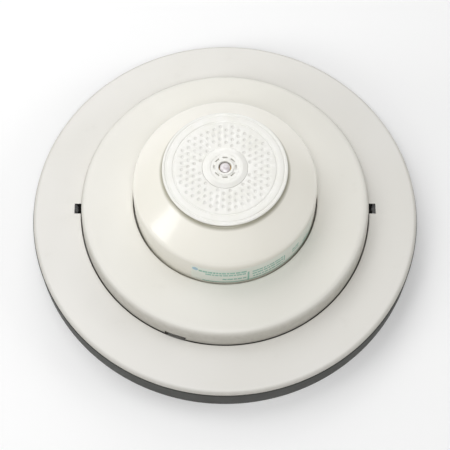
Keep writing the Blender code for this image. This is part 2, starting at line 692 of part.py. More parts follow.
def main():
    clear_scene()
    make_back_ring()
    make_trim_plate()
    make_mounting_bracket()

    twist = joint_empty("twist_lock_axis", TWIST_DEGREES)
    hang([
        make_housing_ring(), make_base_plate(), *make_base_screws(), *make_terminals(),
        make_head_cover(), make_chamber_floor(), make_breather_vent(), make_chamber_seal(),
        *make_chamber_screws(), make_diaphragm(), make_clamp_ring(), make_guide_tube(),
        make_guide_seal(), make_guide_nut(), make_plunger_spring(), make_plunger_contact(),
        make_rise_contact_bracket(), make_calibration_screw(),
        make_leaf_rivet("plunger_leaf_rivet", PLUNGER_PIVOT, 0.5 * MM),
        make_leaf_rivet("rise_leaf_rivet", RISE_PIVOT, 0.4 * MM),
    ], twist)

    collector = joint_empty("collector_release_axis", COLLECTOR_DROP, (0, 0, DISC_TOP))
    hang([make_heat_collector(), make_collector_hub(), make_fusible_plug()], collector)
    plunger = joint_empty("plunger_release_axis", PLUNGER_TRAVEL, (0, 0, PLUNGER_TIP))
    hang([make_plunger()], plunger)
    stud = joint_empty("diaphragm_press_axis", STUD_TRAVEL, (0, DIAPHRAGM_Y, DIAPHRAGM_BACK))
    hang([make_diaphragm_stud()], stud)
    plunger_leaf = joint_empty("plunger_leaf_axis", PLUNGER_LEAF_DEGREES, PLUNGER_PIVOT)
    hang([
        make_leaf("plunger_leaf", PLUNGER_PIVOT, 2.2 * MM, -17 * MM),
        make_leaf_contact("plunger_leaf_contact", PLUNGER_PIVOT, PLUNGER_CONTACT_X),
    ], plunger_leaf)
    rise_leaf = joint_empty("rise_leaf_axis", RISE_LEAF_DEGREES, RISE_PIVOT)
    hang([
        make_leaf("rise_leaf", RISE_PIVOT, -2.2 * MM, 18 * MM),
        make_leaf_contact("rise_leaf_contact", RISE_PIVOT, RISE_CONTACT_X),
    ], rise_leaf)
    hang([collector, plunger, stud, plunger_leaf, rise_leaf], twist)


main()
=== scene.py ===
# Ceiling heat detector lying on its back: the looks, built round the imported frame.
import json
import math
import random

import bmesh
import bpy
from mathutils import Matrix, Vector


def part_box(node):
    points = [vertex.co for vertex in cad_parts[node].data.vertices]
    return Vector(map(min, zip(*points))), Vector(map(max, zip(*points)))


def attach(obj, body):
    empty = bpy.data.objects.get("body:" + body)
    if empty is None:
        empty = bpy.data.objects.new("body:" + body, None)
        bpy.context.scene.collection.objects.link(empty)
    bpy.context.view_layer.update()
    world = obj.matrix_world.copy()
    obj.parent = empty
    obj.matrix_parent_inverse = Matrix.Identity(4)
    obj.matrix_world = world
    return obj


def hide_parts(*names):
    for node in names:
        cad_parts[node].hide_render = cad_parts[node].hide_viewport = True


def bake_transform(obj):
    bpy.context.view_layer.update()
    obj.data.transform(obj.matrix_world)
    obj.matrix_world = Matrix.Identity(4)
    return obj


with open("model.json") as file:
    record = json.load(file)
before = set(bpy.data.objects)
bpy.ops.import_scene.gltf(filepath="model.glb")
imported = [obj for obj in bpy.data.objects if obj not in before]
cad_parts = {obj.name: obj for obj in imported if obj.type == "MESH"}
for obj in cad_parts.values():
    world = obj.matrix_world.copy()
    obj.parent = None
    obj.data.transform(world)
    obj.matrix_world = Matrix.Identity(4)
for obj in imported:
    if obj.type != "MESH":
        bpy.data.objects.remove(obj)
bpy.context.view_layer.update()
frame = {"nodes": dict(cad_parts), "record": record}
mm = 0.001
print("frame loaded:", len(frame["nodes"]), "nodes")


def linearColour(hexValue):
    channels = [int(hexValue[i:i + 2], 16) / 255 for i in (0, 2, 4)]
    return tuple(c / 12.92 if c <= 0.04045 else ((c + 0.055) / 1.055) ** 2.4 for c in channels) + (1.0,)


def addNode(tree, kind, settings=None, inputs=None):  # an input that is a socket is linked
    node = tree.nodes.new(kind)
    for name, value in (settings or {}).items():
        setattr(node, name, value)
    for name, value in (inputs or {}).items():
        if isinstance(value, bpy.types.NodeSocket):
            tree.links.new(value, node.inputs[name])
        else:
            node.inputs[name].default_value = value
    return node


# Camera and light

viewSetup = {
    "focalLength": 98.7,
    "sensor": 36.0,
    "target": (0.0, -1.55, 0.0),     # mm
    "distance": 509.8,               # mm
    "elevation": 65.69,              # degrees above the ceiling plane
}


def addCamera(setup):
    data = bpy.data.cameras.new("camera")
    data.lens = setup["focalLength"]
    data.sensor_width = setup["sensor"]
    data.clip_start = 0.01
    data.clip_end = 20
    camera = bpy.data.objects.new("camera", data)
    bpy.context.scene.collection.objects.link(camera)
    tilt = math.radians(setup["elevation"])
    back = Vector((0, -math.cos(tilt), math.sin(tilt)))
    camera.location = Vector(setup["target"]) * mm + back * setup["distance"] * mm
    camera.rotation_euler = (-back).to_track_quat("-Z", "Y").to_euler()
    bpy.context.scene.camera = camera


lightSetup = {  # places and sizes in metres, power in watts
    "softBox": {"place": (-0.2, 0.2, 0.45), "size": 0.4, "power": 1.0},
    "farPanel": {"place": (0.0, 1.1, 0.55), "size": 0.6, "power": 2.9},
    "leftPanel": {"place": (-1.02, -0.4, 0.45), "size": 0.36, "power": 1.8},  # shines on the shoulder
    "nearLeftPanel": {"place": (-0.7, -0.6, 0.7), "size": 0.4, "power": 1.36, "glossy": False},
    "nearPanel": {"place": (0.0, -0.6, 1.2), "size": 0.5, "power": 6.7},
    "rightPanel": {"place": (1.1, 0.0, 0.5), "size": 0.5, "power": 2.4, "glossy": False},
}
roomSetup = {"strength": 0.16, "colour": "FFFFFF"}


def addLights(lights, room):
    for name, chosen in lights.items():
        data = bpy.data.lights.new(name, "AREA")
        data.size = chosen["size"]
        data.energy = chosen["power"]
        light = bpy.data.objects.new(name, data)
        light.location = chosen["place"]
        light.rotation_euler = (-Vector(chosen["place"])).to_track_quat("-Z", "Y").to_euler()
        light.visible_glossy = chosen.get("glossy", True)
        bpy.context.scene.collection.objects.link(light)
    world = bpy.data.worlds.new("room")
    world.use_nodes = True
    background = world.node_tree.nodes["Background"]
    background.inputs["Color"].default_value = linearColour(room["colour"])
    background.inputs["Strength"].default_value = room["strength"]
    bpy.context.scene.world = world
    bpy.context.scene.view_settings.view_transform = "Standard"


addCamera(viewSetup)
addLights(lightSetup, roomSetup)
print("camera and light ready")


# Materials

def newMaterial(name):
    material = bpy.data.materials.new(name)
    material.use_nodes = True
    tree = material.node_tree
    return material, tree, tree.nodes["Principled BSDF"]


def perMetre(sizeMm):  # a pattern's scale from the real size of one feature
    return 1000.0 / sizeMm


def addPattern(tree, coords, sizeMm, detail=2.0, roughness=0.5):
    return addNode(tree, "ShaderNodeTexNoise", {}, {
        "Vector": coords, "Scale": perMetre(sizeMm), "Detail": detail, "Roughness": roughness})


def addRange(tree, value, fromLow, fromHigh, toLow, toHigh):
    return addNode(tree, "ShaderNodeMapRange", {"clamp": True}, {
        "Value": value, "From Min": fromLow, "From Max": fromHigh,
        "To Min": toLow, "To Max": toHigh}).outputs["Result"]


def addMix(tree, share, first, second, blend="MIX"):
    mix = tree.nodes.new("ShaderNodeMix")
    mix.data_type = "RGBA"
    mix.blend_type = blend
    for socket, value in zip((mix.inputs[0], mix.inputs[6], mix.inputs[7]), (share, first, second)):
        if isinstance(value, bpy.types.NodeSocket):
            tree.links.new(value, socket)
        else:
            socket.default_value = value
    return mix.outputs[2]


def mouldedPlastic(name, look):
    # Injection-moulded thermoplastic: even colour, faint cloudiness, fine spark-eroded grain, a few faint
    # handling marks, and rings of painted shade at edges and joints, partly grime, with painted shade on the
    # foot where asked.
    material, tree, shader = newMaterial(name)
    coords = addNode(tree, "ShaderNodeTexCoord").outputs["Object"]
    cloud = addPattern(tree, coords, look["cloudMm"], 3.0).outputs["Fac"]
    colour = addMix(tree, addRange(tree, cloud, 0.35, 0.65, 0.0, 1.0),
                    linearColour(look["colour"]), linearColour(look["cloudColour"]))
    marks = addPattern(tree, coords, look["markMm"], 6.0, 0.65).outputs["Fac"]
    markShare = addRange(tree, marks, 0.62, 0.78, 0.0, look["markShare"])
    colour = addMix(tree, markShare, colour, linearColour(look["grimeAndShadeColour"]))
    if look.get("shadeAndGrimeRings"):  # rings of painted shade, partly grime: radius, width and share
        flat = addNode(tree, "ShaderNodeVectorMath", {"operation": "MULTIPLY"},
                       {0: coords, 1: (1.0, 1.0, 0.0)}).outputs["Vector"]
        radius = addNode(tree, "ShaderNodeVectorMath", {"operation": "LENGTH"},
                         {0: flat}).outputs["Value"]
        speckle = addRange(tree, addPattern(tree, coords, look["speckleMm"], 4.0).outputs["Fac"],
                           0.3, 0.7, look["speckleLow"], 1.0)
        for ringRadius, width, ringShadeShare in look["shadeAndGrimeRings"]:
            away = addNode(tree, "ShaderNodeMath", {"operation": "SUBTRACT"},
                           {0: radius, 1: ringRadius * mm}).outputs["Value"]
            away = addNode(tree, "ShaderNodeMath", {"operation": "ABSOLUTE"},
                           {0: away}).outputs["Value"]
            near = addRange(tree, away, 0.0, width * mm, ringShadeShare, 0.0)
            share = addNode(tree, "ShaderNodeMath", {"operation": "MULTIPLY"},
                            {0: near, 1: speckle}).outputs["Value"]
            colour = addMix(tree, share, colour, linearColour(look["grimeAndShadeColour"]))
        # painted shade: below a height and outside a radius the colour turns dark
        if look.get("foot"):
            foot = look["foot"]
            level = addNode(tree, "ShaderNodeSeparateXYZ", {}, {"Vector": coords}).outputs["Z"]
            below = addRange(tree, level, (foot["height"] - foot["heightFade"]) * mm,
                             foot["height"] * mm, foot["share"], 0.0)
            outside = addRange(tree, radius, (foot["radius"] - foot["radiusFade"]) * mm,
                               foot["radius"] * mm, 0.0, 1.0)
            share = addNode(tree, "ShaderNodeMath", {"operation": "MULTIPLY"},
                            {0: below, 1: outside}).outputs["Value"]
            colour = addMix(tree, share, colour, linearColour(foot["colour"]))
    grain = addPattern(tree, coords, look["grainMm"], 2.0).outputs["Fac"]
    wave = addPattern(tree, coords, look["waveMm"], 1.0).outputs["Fac"]
    waved = addNode(tree, "ShaderNodeBump", {}, {
        "Height": wave, "Strength": 0.5, "Distance": look["waveDepthMm"] * mm}).outputs["Normal"]
    bumped = addNode(tree, "ShaderNodeBump", {}, {
        "Height": grain, "Strength": 0.6, "Distance": look["grainDepthMm"] * mm,
        "Normal": waved}).outputs["Normal"]
    tree.links.new(colour, shader.inputs["Base Color"])
    spread = look.get("roughnessSpread", 0.055)
    tree.links.new(addRange(tree, marks, 0.3, 0.7, look["roughness"] - spread,
                            look["roughness"] + spread), shader.inputs["Roughness"])
    tree.links.new(bumped, shader.inputs["Normal"])
    shader.inputs["IOR"].default_value = look.get("ior", 1.53)
    shader.inputs["Coat Weight"].default_value = look.get("gloss", 0.0)
    shader.inputs["Coat Roughness"].default_value = look.get("glossRoughness", 0.2)
    return material


# painted shade: the ring at 77.7 mm darkens the plate's rounded rim; the faint ring at 58.0 mm is darker
# next to the gap
plateAbsLook = {
    "colour": "E7E5E0", "cloudColour": "E4E2DC", "cloudMm": 45, "grimeAndShadeColour": "A5A196",
    "markMm": 11, "markShare": 0.08, "shadeAndGrimeRings": ((58.0, 1.4, 0.15), (77.7, 1.7, 0.75)),
    "speckleMm": 2.5, "speckleLow": 0.8,
    "grainMm": 0.45, "grainDepthMm": 0.02, "waveMm": 28, "waveDepthMm": 0.05, "roughness": 0.48,
}
# painted shade: the foot of the housing is coloured near black, so that the gap to the plate reads dark
housingFootShade = {"height": 12.6, "heightFade": 0.4, "radius": 57.0, "radiusFade": 0.3, "share": 0.92,
               "colour": "1D1C1A"}
# painted shade: the ring at 57.5 mm darkens the housing's outer wall; the faint ring at 36.6 mm is darker
# next to the head
housingAbsLook = dict(plateAbsLook, shadeAndGrimeRings=((36.6, 1.2, 0.15), (57.5, 1.5, 0.75)), colour="EAE8E1",
                      cloudColour="E7E5DD", foot=housingFootShade)
# painted shade: the ring at 23.9 mm is the shadow under the collector disc, and the ring at 36.2 mm darkens
# the head's wall
headAbsLook = {
    "colour": "F9F6EC", "cloudColour": "F6F3E8", "cloudMm": 30, "grimeAndShadeColour": "AEAA99",
    "markMm": 9, "markShare": 0.0, "shadeAndGrimeRings": ((23.9, 1.3, 1.3), (36.2, 1.1, 0.45)),
    "speckleMm": 2.5, "speckleLow": 0.9, "grainMm": 0.9, "grainDepthMm": 0.006, "waveMm": 16,
    "waveDepthMm": 0.05, "roughness": 0.3, "roughnessSpread": 0.02, "gloss": 0.5,
    "glossRoughness": 0.13,
}
filmLook = {
    "colour": "DFE3D9", "cloudColour": "DBDFD4", "cloudMm": 12, "grimeAndShadeColour": "C9CCBE",
    "markMm": 6, "markShare": 0.08, "grainMm": 0.6, "grainDepthMm": 0.004, "waveMm": 14,
    "waveDepthMm": 0.02, "roughness": 0.36,
}
# painted shade: the back ring is drawn in dark charcoal plastic, which stands in for the shade under the
# plate's rim
charcoalShadeAbsLook = {
    "colour": "3D3E39", "cloudColour": "363732", "cloudMm": 25, "grimeAndShadeColour": "6C6A62",
    "markMm": 8, "markShare": 0.25, "grainMm": 0.5, "grainDepthMm": 0.03, "waveMm": 20,
    "waveDepthMm": 0.04, "roughness": 0.6,
}
baseAbsLook = {
    "colour": "CFCBC0", "cloudColour": "C9C5B9", "cloudMm": 25, "grimeAndShadeColour": "8F8A7C",
    "markMm": 8, "markShare": 0.18, "grainMm": 0.6, "grainDepthMm": 0.02, "waveMm": 20,
    "waveDepthMm": 0.04, "roughness": 0.5,
}


def enamelledAluminium(name, look):
    # Embossed aluminium under ivory enamel: smooth, slightly uneven gloss like orange peel.
    material, tree, shader = newMaterial(name)
    coords = addNode(tree, "ShaderNodeTexCoord").outputs["Object"]
    cloud = addPattern(tree, coords, look["cloudMm"], 4.0).outputs["Fac"]
    colour = addMix(tree, addRange(tree, cloud, 0.4, 0.65, 0.0, 1.0),
                    linearColour(look["colour"]), linearColour(look["cloudColour"]))
    peel = addPattern(tree, coords, look["peelMm"], 2.0).outputs["Fac"]
    bumped = addNode(tree, "ShaderNodeBump", {}, {
        "Height": peel, "Strength": 0.5, "Distance": look["peelDepthMm"] * mm}).outputs["Normal"]
    tree.links.new(colour, shader.inputs["Base Color"])
    tree.links.new(addRange(tree, cloud, 0.3, 0.7, look["roughness"] - 0.04,
                            look["roughness"] + 0.05), shader.inputs["Roughness"])
    tree.links.new(bumped, shader.inputs["Normal"])
    shader.inputs["Coat Weight"].default_value = look["gloss"]
    shader.inputs["Coat Roughness"].default_value = look["glossRoughness"]
    return material


enamelLook = {"colour": "F0EFEA", "cloudColour": "ECEBE4", "cloudMm": 7, "peelMm": 0.8,
              "peelDepthMm": 0.012, "roughness": 0.36, "gloss": 0.8, "glossRoughness": 0.12}
# painted shade: a darker, duller copy of the enamel for the dimples
dimpleShadeEnamelLook = dict(enamelLook, colour="E3E2DD", cloudColour="DCDAD4", cloudMm=5, roughness=0.55)


def workedMetal(name, look):
    # Bare metal: tarnish in patches, and fine marks from rolling, turning or drawing.
    material, tree, shader = newMaterial(name)
    coords = addNode(tree, "ShaderNodeTexCoord").outputs["Object"]
    tarnish = addPattern(tree, coords, look["patchMm"], 4.0).outputs["Fac"]
    colour = addMix(tree, addRange(tree, tarnish, 0.35, 0.7, 0.0, 1.0),
                    linearColour(look["colour"]), linearColour(look["tarnish"]))
    stretched = addNode(tree, "ShaderNodeMapping", {}, {
        "Vector": coords, "Scale": look["grainStretch"]}).outputs["Vector"]
    grain = addPattern(tree, stretched, look["grainMm"], 3.0).outputs["Fac"]
    bumped = addNode(tree, "ShaderNodeBump", {}, {
        "Height": grain, "Strength": 0.5, "Distance": look["grainDepthMm"] * mm}).outputs["Normal"]
    tree.links.new(colour, shader.inputs["Base Color"])
    tree.links.new(addRange(tree, grain, 0.3, 0.7, look["roughness"] - 0.06,
                            look["roughness"] + 0.08), shader.inputs["Roughness"])
    tree.links.new(bumped, shader.inputs["Normal"])
    shader.inputs["Metallic"].default_value = look.get("metallic", 1.0)
    return material


zincLook = {"colour": "C3C6C8", "tarnish": "A5A8A6", "patchMm": 3.5, "grainMm": 0.35,
            "grainStretch": (0.12, 1.0, 1.0), "grainDepthMm": 0.01, "roughness": 0.34}
brassLook = {"colour": "D0AE68", "tarnish": "A98446", "patchMm": 4.0, "grainMm": 0.3,
             "grainStretch": (0.4, 0.4, 1.0), "grainDepthMm": 0.008, "roughness": 0.28}
bronzeLook = {"colour": "C6906A", "tarnish": "A06A48", "patchMm": 3.0, "grainMm": 0.25,
              "grainStretch": (0.1, 1.0, 1.0), "grainDepthMm": 0.006, "roughness": 0.3}
silverLook = {"colour": "E4E2DC", "tarnish": "BDB7A8", "patchMm": 1.2, "grainMm": 0.2,
              "grainStretch": (1.0, 1.0, 1.0), "grainDepthMm": 0.004, "roughness": 0.22}
springLook = {"colour": "A9ABAD", "tarnish": "8A8987", "patchMm": 1.5, "grainMm": 0.15,
              "grainStretch": (1.0, 1.0, 0.3), "grainDepthMm": 0.004, "roughness": 0.3}
# the set solder is drawn paler and less metallic than the bare alloy
solderLook = {"colour": "F0EDEF", "tarnish": "D2C9CC", "patchMm": 1.1, "grainMm": 0.5,
              "grainStretch": (1.0, 1.0, 1.0), "grainDepthMm": 0.05, "roughness": 0.42, "metallic": 0.3}


rubberLook = {"colour": "252524", "bloom": "3A3936", "bloomMm": 2.0}


def sealRubber(name, look):
    # Moulded nitrile rubber: near black, dull, with a dusty bloom.
    material, tree, shader = newMaterial(name)
    coords = addNode(tree, "ShaderNodeTexCoord").outputs["Object"]
    bloom = addPattern(tree, coords, look["bloomMm"], 5.0).outputs["Fac"]
    tree.links.new(addMix(tree, addRange(tree, bloom, 0.4, 0.75, 0.0, 1.0), linearColour(look["colour"]),
                          linearColour(look["bloom"])), shader.inputs["Base Color"])
    tree.links.new(addRange(tree, bloom, 0.3, 0.7, 0.7, 0.85), shader.inputs["Roughness"])
    return material


phenolicLook = {"colour": "5A4331", "fibre": "483527", "fibreMm": 1.4, "pressDepthMm": 0.02}


def phenolicBoard(name, look):
    # Pressed phenolic paper: brown, faintly mottled, with a satin pressed face.
    material, tree, shader = newMaterial(name)
    coords = addNode(tree, "ShaderNodeTexCoord").outputs["Object"]
    fibre = addPattern(tree, coords, look["fibreMm"], 6.0, 0.6).outputs["Fac"]
    tree.links.new(addMix(tree, addRange(tree, fibre, 0.35, 0.65, 0.0, 1.0), linearColour(look["colour"]),
                          linearColour(look["fibre"])), shader.inputs["Base Color"])
    tree.links.new(addRange(tree, fibre, 0.3, 0.7, 0.36, 0.5), shader.inputs["Roughness"])
    tree.links.new(addNode(tree, "ShaderNodeBump", {}, {
        "Height": fibre, "Strength": 0.4, "Distance": look["pressDepthMm"] * mm}).outputs["Normal"],
        shader.inputs["Normal"])
    return material


greenInkLook = {"colour": "7DB5A3", "worn": "C8D8CC", "patchMm": 0.5}
blueInkLook = dict(greenInkLook, colour="8FB6CC")


def printInk(name, look):
    # Pad-printed ink on plastic: thin, slightly patchy, a touch glossier than what it lies on.
    material, tree, shader = newMaterial(name)
    coords = addNode(tree, "ShaderNodeTexCoord").outputs["Object"]
    patchy = addPattern(tree, coords, look["patchMm"], 4.0).outputs["Fac"]
    tree.links.new(addMix(tree, addRange(tree, patchy, 0.4, 0.75, 0.0, 0.5), linearColour(look["colour"]),
                          linearColour(look["worn"])), shader.inputs["Base Color"])
    tree.links.new(addRange(tree, patchy, 0.3, 0.7, 0.3, 0.42), shader.inputs["Roughness"])
    return material


finishes = {
    "plateAbs": mouldedPlastic("mouldedAbsWhite", plateAbsLook),
    "housingAbs": mouldedPlastic("mouldedAbsHousing", housingAbsLook),
    "headAbs": mouldedPlastic("polishedAbsCream", headAbsLook),
    "charcoalShadeAbs": mouldedPlastic("mouldedAbsCharcoalShade", charcoalShadeAbsLook),
    "baseAbs": mouldedPlastic("mouldedAbsGrey", baseAbsLook),
    "enamel": enamelledAluminium("enamelledAluminium", enamelLook),
    "zinc": workedMetal("zincPlatedSteel", zincLook),
    "brass": workedMetal("turnedBrass", brassLook),
    "bronze": workedMetal("rolledPhosphorBronze", bronzeLook),
    "silver": workedMetal("silverContact", silverLook),
    "spring": workedMetal("drawnSpringWire", springLook),
    "solder": workedMetal("eutecticSolder", solderLook),
    "rubber": sealRubber("nitrileRubber", rubberLook),
    "phenolic": phenolicBoard("pressedPhenolic", phenolicLook),
    "ink": printInk("padPrintInk", greenInkLook),
    "blueInk": printInk("padPrintBlue", blueInkLook),
    "labelFilm": mouldedPlastic("polyesterFilm", filmLook),
    "dimpleShadeEnamel": enamelledAluminium("dimpleShadeEnamel", dimpleShadeEnamelLook),
}
print("materials ready:", len(finishes))


# Modelling helpers

def addPiece(name, bm, body, finish, replaces=(), sharpDegrees=32):
    bmesh.ops.remove_doubles(bm, verts=bm.verts, dist=1e-7)
    bmesh.ops.recalc_face_normals(bm, faces=bm.faces)
    mesh = bpy.data.meshes.new(name)
    bm.to_mesh(mesh)
    bm.free()
    piece = bpy.data.objects.new(name, mesh)
    bpy.context.scene.collection.objects.link(piece)
    return dress(piece, body, finish, replaces, sharpDegrees)


def dress(piece, body, finish, replaces=(), sharpDegrees=32):
    piece.data.shade_smooth()
    piece.data.set_sharp_from_angle(angle=math.radians(sharpDegrees))
    piece.data.materials.append(finishes[finish])
    if body:
        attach(piece, body)
    if replaces:
        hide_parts(*replaces)
    return piece


def turnedMesh(corners, steps=192, centre=(0, 0)):
    # corners are (radius, height, rounding) in mm, in order round the outline; an outline that
    # starts on the axis ends there too, and any other one is a closed loop
    bm = bmesh.new()
    points = [bm.verts.new((r * mm, 0, z * mm)) for r, z, _ in corners]
    onAxis = corners[0][0] == 0
    for first, second in zip(points, points[1:] + ([] if onAxis else points[:1])):
        bm.edges.new((first, second))
    for point, (_, _, rounding) in zip(points, corners):
        if rounding:
            one, two = [(edge.other_vert(point).co - point.co).normalized() for edge in point.link_edges]
            half = math.acos(max(-1.0, min(1.0, one.dot(two)))) / 2
            bmesh.ops.bevel(bm, geom=[point], offset=rounding * mm / math.tan(half), affect="VERTICES",
                            offset_type="OFFSET", segments=6, profile=0.5, material=-1)
    bmesh.ops.spin(bm, geom=bm.verts[:] + bm.edges[:], cent=(0, 0, 0), axis=(0, 0, 1),
                   angle=math.tau, steps=steps, use_merge=True)
    bmesh.ops.remove_doubles(bm, verts=bm.verts, dist=1e-7)
    bmesh.ops.translate(bm, verts=bm.verts, vec=(centre[0] * mm, centre[1] * mm, 0))
    return bm


def boxMesh(low, high):  # corners in mm
    bm = bmesh.new()
    bmesh.ops.create_cube(bm, size=1.0)
    size = Vector(high) - Vector(low)
    bmesh.ops.scale(bm, verts=bm.verts, vec=size * mm)
    bmesh.ops.translate(bm, verts=bm.verts, vec=(Vector(low) + Vector(high)) / 2 * mm)
    return bm


def pinMesh(radius, low, high, centre=(0, 0), steps=32):  # mm
    return turnedMesh([(0, low, 0), (radius, low, 0), (radius, high, 0), (0, high, 0)], steps, centre)


def turnMesh(bm, degrees):
    bmesh.ops.rotate(bm, verts=bm.verts, cent=(0, 0, 0),
                     matrix=Matrix.Rotation(math.radians(degrees), 3, "Z"))
    return bm


def arcMesh(corners, middle, half, steps):  # a closed (r, z) outline swept through an arc, mm
    bm = bmesh.new()
    face = bm.faces.new([bm.verts.new((r * mm, 0, z * mm)) for r, z in corners])
    bmesh.ops.spin(bm, geom=[*face.verts, *face.edges, face], cent=(0, 0, 0), axis=(0, 0, 1),
                   angle=math.radians(2 * half), steps=steps)
    return turnMesh(bm, middle - half)


def setSlot(bm, index):
    for face in bm.faces:
        face.material_index = index


def combineMesh(bm, others, operation):  # others are joined to bm, or cut out of it
    for other in others:
        bmesh.ops.recalc_face_normals(other, faces=other.faces)
    bmesh.ops.recalc_face_normals(bm, faces=bm.faces)
    objects = []
    for name, source in (("target", bm), *(("tool", other) for other in others)):
        mesh = bpy.data.meshes.new(name)
        source.to_mesh(mesh)
        source.free()
        mesh.materials.append(None)  # two slots, so that cut faces keep the tool's slot
        mesh.materials.append(None)
        objects.append(bpy.data.objects.new(name, mesh))
        bpy.context.scene.collection.objects.link(objects[-1])
    target, tools = objects[0], objects[1:]
    for tool in tools:
        modifier = target.modifiers.new(tool.name, "BOOLEAN")
        modifier.operation = operation
        modifier.solver = "EXACT"
        modifier.object = tool
    bpy.context.view_layer.update()
    result = bmesh.new()
    result.from_object(target, bpy.context.evaluated_depsgraph_get())
    for made in objects:
        bpy.data.meshes.remove(made.data)
    return result


# Fixed to the ceiling: back ring, trim plate, bracket

housingLow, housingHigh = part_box("housing_ring")
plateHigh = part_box("trim_plate")[1]
housingRadius = housingHigh.x / mm
plateRadius = plateHigh.x / mm
plateTop = plateHigh.z / mm

backRing = {"wall": 2.8, "flangeBore": 66.0, "flangeThickness": 1.8, "edgeRound": 0.35,
            "beadDepth": 1.2, "bead": (4.0, 5.5, 6.0)}  # bead: low edge, high edge, end of its slope


def makeBackRing(spec):
    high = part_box("back_ring")[1]
    outer = high.x / mm
    top = high.z / mm
    inner = outer - spec["wall"]
    bead = inner - spec["beadDepth"]
    beadLow, beadHigh, slopeEnd = spec["bead"]
    flange = spec["flangeThickness"]
    bm = turnedMesh([
        (outer, 0, spec["edgeRound"]), (outer, top, spec["edgeRound"]), (inner, top, 0.2),
        (inner, slopeEnd, 0), (bead, beadHigh, 0.2), (bead, beadLow, 0.2), (inner, beadLow, 0),
        (inner, flange, 0.4), (spec["flangeBore"], flange, 0.3), (spec["flangeBore"], 0, 0)], 288)
    addPiece("backRing", bm, "ceiling_mount", "charcoalShadeAbs", ["back_ring"])


trimPlate = {
    "edgeRound": 1.9, "thickness": 2.3, "collarWall": 2.2, "gap": 0.45,
    "flange": (50.5, 1.6, 3.4),  # bore, back and front
    "windowDepth": 2.65, "windowHalfWidth": 2.2, "pocketDepth": 3.85, "pocketHalfWidth": 3.6,
    "windowSkin": 0.8, "windowBack": 5,
    "hookAngles": (45, 135, 225, 315), "hookHalf": 3.2,
    "hook": ((71.4, 10.7), (71.4, 2.4), (73.6, 2.4), (74.4, 3.0), (74.4, 3.6), (73.2, 3.6),
             (73.2, 10.7)),  # outline of a snap hook under the plate, radius and height
}


def makeTrimPlate(spec):
    hole = housingRadius + spec["gap"]
    collar = hole + spec["collarWall"]
    under = plateTop - spec["thickness"]
    bore, back, front = spec["flange"]
    bm = turnedMesh([
        (plateRadius, under, 0.15), (plateRadius, plateTop, spec["edgeRound"]), (hole, plateTop, 0.35),
        (hole, front, 0), (bore, front, 0.4), (bore, back, 0.4), (collar, back, 0.5),
        (collar, under, 0.8)], 288)
    bm = combineMesh(bm, [arcMesh(spec["hook"], angle, spec["hookHalf"], 6)
                          for angle in spec["hookAngles"]], "UNION")
    cuts = []
    for side in (-1, 1):  # each window has a pocket under it that thins the plate
        for depth, half, top in (
                (spec["windowDepth"], spec["windowHalfWidth"], plateTop + 2),
                (spec["pocketDepth"], spec["pocketHalfWidth"], plateTop - spec["windowSkin"])):
            across = sorted((side * (hole - 1), side * (hole + depth)))
            cuts.append(boxMesh((across[0], -half, spec["windowBack"]), (across[1], half, top)))
    for cut in cuts:
        setSlot(cut, 1)
    bm = combineMesh(bm, cuts, "DIFFERENCE")
    piece = addPiece("trimPlate", bm, "ceiling_mount", "plateAbs", ["trim_plate"])
    piece.data.materials.append(finishes["rubber"])  # painted shade: the cut faces inside the windows take the dark rubber finish, so that the windows read dark


bracket = {
    "thickness": 1.2, "bore": 33.0, "earAngles": (90, 210, 330), "earHalf": 7.0,
    "ear": ((41, 1.0), (42.2, 1.0), (42.2, 3.8), (46, 3.8), (46, 5.0), (41.6, 5.0), (41.2, 4.85),
            (41, 4.5)),  # outline, radius and height
    "slotAngles": (0, 180), "slotCircle": 44.45, "slotHalf": 2.3, "slotSweep": 12.0,
    "slotCut": (-1, 2.5),  # low and high end of the cutter
}


def makeBracket(spec):
    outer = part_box("mounting_bracket")[1].x / mm
    thick = spec["thickness"]
    bm = turnedMesh([(outer, 0, 0.2), (outer, thick, 0.3), (spec["bore"], thick, 0.3),
                     (spec["bore"], 0, 0.2)], 240)
    bm = combineMesh(bm, [arcMesh(spec["ear"], angle, spec["earHalf"], 10)
                          for angle in spec["earAngles"]], "UNION")
    near, far = spec["slotCircle"] - spec["slotHalf"], spec["slotCircle"] + spec["slotHalf"]
    low, high = spec["slotCut"]
    slot = ((near, low), (far, low), (far, high), (near, high))
    bm = combineMesh(bm, [arcMesh(slot, angle, spec["slotSweep"], 16)
                          for angle in spec["slotAngles"]], "DIFFERENCE")
    addPiece("mountingBracket", bm, "ceiling_mount", "zinc", ["mounting_bracket"])


makeBackRing(backRing)
makeTrimPlate(trimPlate)
makeBracket(bracket)
print("ceiling side made")


# Housing ring

housing = {"wall": 2.25, "shoulderRadius": 57.15, "shoulderRound": 2.9, "topThickness": 2.3,
           "opening": 36.6, "collar": 1.8, "collarBack": 15.0,
           "notchAngle": -109.5, "notchHalfWidth": 4.3, "notchTop": 14.4, "notchDepth": 3.5,
           "bossCircle": 50.5, "bossAngles": (45, 135, 225, 315), "bossRadius": 3.4, "bossBack": 9.9,
           "pilotRadius": 1.55, "pilotBack": 8.9, "pilotTop": 18}


